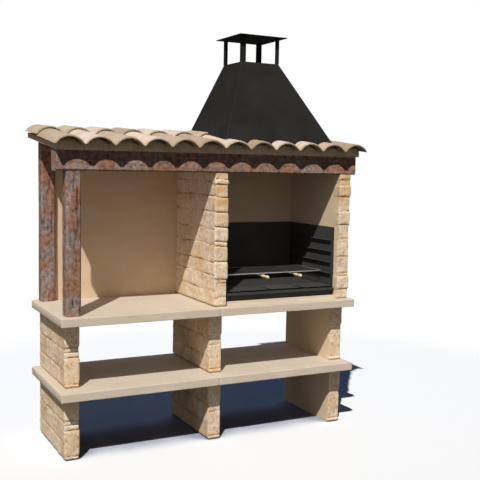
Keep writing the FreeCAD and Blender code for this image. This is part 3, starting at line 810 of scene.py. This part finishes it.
def cut_at_hood(piece, cutter):
    """Takes the hood's space out of a tile and keeps the part at the eave or the row's front."""
    change = piece.modifiers.new("hood", "BOOLEAN")
    change.operation = "DIFFERENCE"
    change.solver = "EXACT"
    change.object = cutter
    shown = piece.evaluated_get(bpy.context.evaluated_depsgraph_get())
    mesh = bpy.data.meshes.new_from_object(shown)
    piece.modifiers.remove(change)
    bm = bmesh.new()
    bm.from_mesh(mesh)
    keep = set()
    todo = [min(bm.verts, key=lambda vert: vert.co.y + vert.co.x * 0.01)]
    while todo:
        vert = todo.pop()
        if vert in keep:
            continue
        keep.add(vert)
        todo += [edge.other_vert(vert) for edge in vert.link_edges]
    bmesh.ops.delete(bm, geom=[v for v in bm.verts if v not in keep], context="VERTS")
    bm.to_mesh(piece.data)
    bm.free()
    bpy.data.meshes.remove(mesh)


def set_tile(node, number, bm, material, cutter):
    piece = make_piece(f"clay_{node}", bm, material, "clay_tile", node)
    if number in TILES_AT_HOOD:
        cut_at_hood(piece, cutter)


def all_tiles(material):
    """The row at the eave, then the row behind it, whose front rides on the first."""
    cutter = hood_cutter()
    z0 = roof_top(TILE_FRONT_Y) + TILE_FOOT_RISE
    z1 = roof_top(FRONT_ROW_END_Y) + TILE_FOOT_RISE
    for number in range(1, TILE_COUNT + 1):
        seed = number * 3.7
        place = (TILE_FRONT_Y, FRONT_ROW_END_Y, z0, z1)
        bm = tile_mesh(number, *place, FRONT_ROW_BACK, seed, PALE_FRONT_TILES)
        set_tile(f"cover_tile_front_{number:02d}", number, bm, material, cutter)
    z0 = roof_top(BACK_ROW_FRONT_Y) + TILE_FOOT_RISE + BACK_ROW_LIFT
    z1 = roof_top(BACK_ROW_END_Y) + TILE_FOOT_RISE
    for number in BACK_ROW:
        seed = number * 5.3 + 1
        place = (BACK_ROW_FRONT_Y, BACK_ROW_END_Y, z0, z1)
        bm = tile_mesh(number, *place, BACK_ROW_BACK, seed, PALE_BACK_TILES)
        set_tile(f"cover_tile_back_{number:02d}", number, bm, material, cutter)
    bpy.data.objects.remove(cutter)


# Mortar bed under the eave

def bed_top(x, y):
    """Underside of the front row of tiles over a place on the roof, or the foot between two tiles."""
    share = (y - TILE_FRONT_Y) / (FRONT_ROW_END_Y - TILE_FRONT_Y)
    width = TILE_W + (FRONT_ROW_BACK[0] - TILE_W) * share - 2 * TILE_WALL
    height = TILE_H + (FRONT_ROW_BACK[1] - TILE_H) * share - TILE_WALL
    radius = (width * width / 4 + height * height) / (2 * height)
    off = (x / TILE_PITCH % 1.0 - 0.5) * TILE_PITCH
    rise = math.sqrt(max(0.0, radius * radius - off * off)) - radius + height
    return roof_top(y) + TILE_FOOT_RISE + max(0.0015, rise - 0.0008)


def mortar_bed(material):
    """Rough mortar along the roof slab's front, leaning back into the arches, dabbed in the valleys."""
    low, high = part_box("roof_slab_left")[0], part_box("roof_slab_right")[1]
    back = EAVE_Y + BED_D
    rings = []
    for x in steps(low.x + 0.002, high.x - 0.002, BED_GRID):
        front = EAVE_Y - 0.0022 + 0.0012 * noise.noise((x * 40, 0, 5.1))
        foot = roof_top(front) + 0.0002
        crown = bed_top(x, back)
        upright = BED_UPRIGHT + 0.3 * noise.noise((x * 16, 0, 8.4))
        number = round(x / TILE_PITCH)
        valley = min(1.0, max(0.0, 2 - 2 * abs(x - number * TILE_PITCH) / DAB_HALF_W))
        dab = DAB_OUT * valley ** 0.5 * (1 + 0.16 * noise.noise((number * 3.7, 1.3, 0)))
        ring = []
        for share in steps(0, 1, 0.125):
            out = dab * (0.9 + 0.1 * share)
            z = foot + (crown - foot) * share - out * ROOF_SLOPE - DAB_SAG * valley * (1 - share)
            lean = (back - front) * max(0.0, (share - upright) / (1 - upright)) * (1 - valley)
            rough = 0.0014 * noise.noise((x * 70, z * 70, 2.2))
            ring.append((Vector((x, front + lean - out + rough, z)), (0, 0, 0)))
        ring.append((Vector((x, back + 0.001, crown)), (0, 0, 0)))
        ring.append((Vector((x, back + 0.001, roof_top(back) + 0.0002)), (0, 0, 0)))
        rings.append(ring)
    make_piece("mortar_bed", skin(rings), material, "roof_concrete", "tile_mortar_fill")


# Hood

def hood_outline(z, inset):
    """Points round the hood at a height, with its folds rounded."""
    half, front, back = hood_level(z, -inset)
    r = max(0.002, HOOD_FOLD_R - inset)
    corners = ((half, front, 270), (half, back, 0), (-half, back, 90), (-half, front, 180))
    points = []
    for x, y, first in corners:
        cx = HOOD_X + x - math.copysign(r, x)
        cy = y + r if y == front else y - r
        for turn in HOOD_FOLD_TURNS:
            angle = math.radians(first + turn)
            points.append((cx + r * math.cos(angle), cy + r * math.sin(angle)))
    return points


def hood_ring(share, inset):
    """Ring at a share of the way from the roof to the mouth: the foot follows the slope."""
    ring = []
    for index in range(len(hood_outline(HOOD_FOOT[0], inset))):
        z = HOOD_FOOT[0]
        for _ in range(6):
            z = roof_top(hood_outline(z, inset)[index][1])
        level = z + (HOOD_MOUTH[0] - z) * share
        x, y = hood_outline(level, inset)[index]
        ring.append((Vector((x, y, level)), (0, 0, 0)))
    return ring


def steel_hood(material):
    """Folded sheet hood: rounded folds, an open mouth and its inside as a second skin."""
    shares = steps(0.0, 1.0, 0.1)
    outside = [hood_ring(share, 0.0) for share in shares]
    inside = [hood_ring(share, HOOD_SHEET) for share in reversed(shares)]
    rings = outside + inside
    bm = bmesh.new()
    rows = [[bm.verts.new(point) for point, _ in ring] for ring in rings]
    for low, high in zip(rows, rows[1:] + rows[:1]):
        for i in range(len(low)):
            j = (i + 1) % len(low)
            bm.faces.new((low[i], low[j], high[j], high[i]))
    bmesh.ops.recalc_face_normals(bm, faces=bm.faces)
    panels = [f"hood_{side}_panel" for side in ("front", "back", "left", "right")]
    return make_piece("steel_hood", bm, material, "hood_steel", *panels, crease=50)


# Nodes that keep their CAD shape

def dress(material, *names):
    """Gives CAD nodes a material."""
    for name in names:
        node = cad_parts[name]
        if not node.material_slots:
            node.data.materials.append(material)
        for place in node.material_slots:
            place.material = material


# Stage

def add_floor():
    """Pale floor that turns to plain white far away and keeps the object's shadow; under and near the
    object its colour is darkened to a cool grey by ambient occlusion, as painted shade.
    """
    half = FLOOR_HALF
    mesh = bpy.data.meshes.new("floor")
    corners = [(-half, -half, 0), (half, -half, 0), (half, half, 0), (-half, half, 0)]
    mesh.from_pydata(corners, [], [(0, 1, 2, 3)])
    floor = bpy.data.objects.new("floor", mesh)
    floor.location.z = -FLOOR_DROP
    bpy.context.scene.collection.objects.link(floor)
    p = Paint("floor_white", 0.95, specular=0.0)
    mesh.materials.append(p.material)
    rays = p.tree.nodes.new("ShaderNodeLightPath")
    seen = p.math("MAXIMUM", rays.outputs["Is Camera Ray"], rays.outputs["Is Glossy Ray"])
    seen = p.math("MAXIMUM", seen, rays.outputs["Is Transmission Ray"])
    dull = (FLOOR_BOUNCE, FLOOR_BOUNCE, FLOOR_BOUNCE, 1)
    # Painted shade: where ambient occlusion is low, under and beside the object, the floor's colour turns
    # from white to a cool grey.
    cover = p.tree.nodes.new("ShaderNodeAmbientOcclusion")
    cover.inputs["Distance"].default_value = FLOOR_PAINTED_SHADE_REACH
    cover.samples = 24
    pale = p.ramp(cover.outputs["AO"], (0.30, srgb(150, 155, 178)), (0.46, srgb(251, 252, 254)))
    p.colour(p.mix(seen, dull, pale))
    white = p.tree.nodes.new("ShaderNodeEmission")
    white.inputs["Strength"].default_value = 1.0
    span = p.tree.nodes.new("ShaderNodeVectorMath")
    span.operation = "DISTANCE"
    span.inputs[1].default_value = FADE_MIDDLE
    p.link(p.place, span.inputs[0])
    share = p.math("DIVIDE", span.outputs["Value"], FLOOR_HALF)
    far = p.ramp(share, (FADE_FROM / FLOOR_HALF, 0.0), (FADE_TO / FLOOR_HALF, 1.0))
    blend = p.tree.nodes.new("ShaderNodeMixShader")
    p.link(p.math("MULTIPLY", seen, far), blend.inputs[0])
    p.link(p.shader.outputs[0], blend.inputs[1])
    p.link(white.outputs[0], blend.inputs[2])
    p.link(blend.outputs[0], p.tree.nodes["Material Output"].inputs["Surface"])
    return floor


def add_world():
    """Faint cool sky that the camera and reflections see as plain white."""
    world = bpy.data.worlds.new("studio")
    bpy.context.scene.world = world
    world.use_nodes = True
    tree = world.node_tree
    sky = tree.nodes["Background"]
    sky.inputs["Color"].default_value = SKY_COLOUR
    sky.inputs["Strength"].default_value = SKY_STRENGTH
    white = tree.nodes.new("ShaderNodeBackground")
    white.inputs["Color"].default_value = (1, 1, 1, 1)
    rays = tree.nodes.new("ShaderNodeLightPath")
    seen = rays.outputs["Is Camera Ray"]
    for kind in ("Is Glossy Ray", "Is Transmission Ray"):
        either = tree.nodes.new("ShaderNodeMath")
        either.operation = "MAXIMUM"
        tree.links.new(seen, either.inputs[0])
        tree.links.new(rays.outputs[kind], either.inputs[1])
        seen = either.outputs[0]
    blend = tree.nodes.new("ShaderNodeMixShader")
    tree.links.new(seen, blend.inputs[0])
    tree.links.new(sky.outputs[0], blend.inputs[1])
    tree.links.new(white.outputs[0], blend.inputs[2])
    tree.links.new(blend.outputs[0], tree.nodes["World Output"].inputs["Surface"])


def add_lamp(name, travel, strength, angle, colour):
    """Far lamp that shines along travel; angle is how wide it looks, in degrees."""
    data = bpy.data.lights.new(name, "SUN")
    data.energy = strength
    data.angle = math.radians(angle)
    data.color = colour
    lamp = bpy.data.objects.new(name, data)
    lamp.rotation_euler = Vector(travel).to_track_quat("-Z", "Y").to_euler()
    lamp.location = Vector(travel) * -6
    bpy.context.scene.collection.objects.link(lamp)
    return lamp


def link_lamp(lamp, state, *pieces):
    """Has a lamp shine on the pieces named alone (INCLUDE), or on all but them (EXCLUDE)."""
    group = bpy.data.collections.new(f"{lamp.name}_pieces")
    for piece in pieces:
        group.objects.link(piece)
    lamp.light_linking.receiver_collection = group
    for entry in group.collection_objects:
        entry.light_linking.link_state = state


def add_glow(floor):
    """Broad blue lamp behind the object, for the cool shade on the floor."""
    data = bpy.data.lights.new("glow", "AREA")
    data.energy = GLOW_WATTS
    data.shape = "RECTANGLE"
    data.size, data.size_y = GLOW_SIZE
    data.color = GLOW_COLOUR
    glow = bpy.data.objects.new("glow", data)
    glow.location = GLOW_PLACE
    glow.rotation_euler = (Vector(GLOW_AIM) - Vector(GLOW_PLACE)).to_track_quat("-Z", "Y").to_euler()
    bpy.context.scene.collection.objects.link(glow)
    link_lamp(glow, "INCLUDE", floor)


def add_lamps(floor, beam):
    """Key from the front left, a wide soft fill, and a blue glow from behind in the shadow on the floor."""
    add_lamp("key", SUN_TRAVEL, SUN_STRENGTH, SUN_ANGLE, SUN_COLOUR)
    fill = add_lamp("fill", FILL_TRAVEL, FILL_STRENGTH, FILL_ANGLE, FILL_COLOUR)
    link_lamp(fill, "EXCLUDE", floor, beam)
    add_glow(floor)


def add_camera():
    """Camera where the photograph was taken from."""
    yaw, pitch, roll = (math.radians(a) for a in (CAMERA_YAW, CAMERA_PITCH, CAMERA_ROLL))
    level = math.cos(pitch)
    ahead = Vector((math.sin(yaw) * level, math.cos(yaw) * level, -math.sin(pitch)))
    right = Vector((math.cos(yaw), -math.sin(yaw), 0))
    down = ahead.cross(right)
    side = right * math.cos(roll) + down * math.sin(roll)
    drop = down * math.cos(roll) - right * math.sin(roll)
    turn = Matrix((side, -drop, -ahead)).transposed().to_4x4()
    data = bpy.data.cameras.new("camera")
    data.lens = CAMERA_LENS
    data.sensor_width = 36
    camera = bpy.data.objects.new("camera", data)
    camera.matrix_world = Matrix.Translation(CAMERA_PLACE) @ turn
    bpy.context.scene.collection.objects.link(camera)
    bpy.context.scene.camera = camera


def main():
    stone = field_stone()
    slabs = cast_stone()
    mortar = smooth_mortar()
    concrete = roof_concrete()
    clay = clay_tile()
    hood_paint = black_steel("hood_steel", HOOD_BLACK, 0.9, 0.01)
    fire_paint = black_steel("lining_steel", LINING_BLACK, 0.75, 0.03)
    drawer_paint = black_steel("drawer_steel", DRAWER_BLACK, 0.75, 0.03)
    upright = aged_timber("aged_timber_post", (1, 1, 0.16), 0.85, 0.94)
    lying = aged_timber("aged_timber_beam", (0.16, 1, 1), 0.4, 1.06)
    all_stone(stone)
    timber_post("front_post", upright, 1.0)
    timber_post("rear_post", upright, 2.5)
    beam = timber_beam(lying)
    for seed, name in enumerate(CAST_SLABS):
        cast_slab(name, slabs, seed * 1.7)
    all_tiles(clay)
    steel_hood(hood_paint)
    dress(slabs, "hearth_slab")
    dress(mortar, "niche_back_panel", "firebox_back_wall")
    mortar_bed(concrete)
    dress(concrete, "roof_slab_left", "roof_slab_right")
    dress(clay, "channel_tiles")
    dress(hood_paint, "cap_posts", "cap_plate")
    dress(fire_paint, "lining_left_plate", "lining_right_plate", "lining_back_plate", "charcoal_plate")
    dress(fire_paint, "grill_ledges_left", "grill_ledges_right")
    dress(drawer_paint, "ash_drawer")
    dress(bright_bar(), "grill_frame", "handle_shanks")
    dress(burnt_rods(), "grill_rods")
    dress(handle_wood(), "grill_handle_left", "grill_handle_right")
    add_lamps(add_floor(), beam)
    add_world()
    add_camera()
    bpy.context.scene.view_settings.view_transform = "Standard"


main()
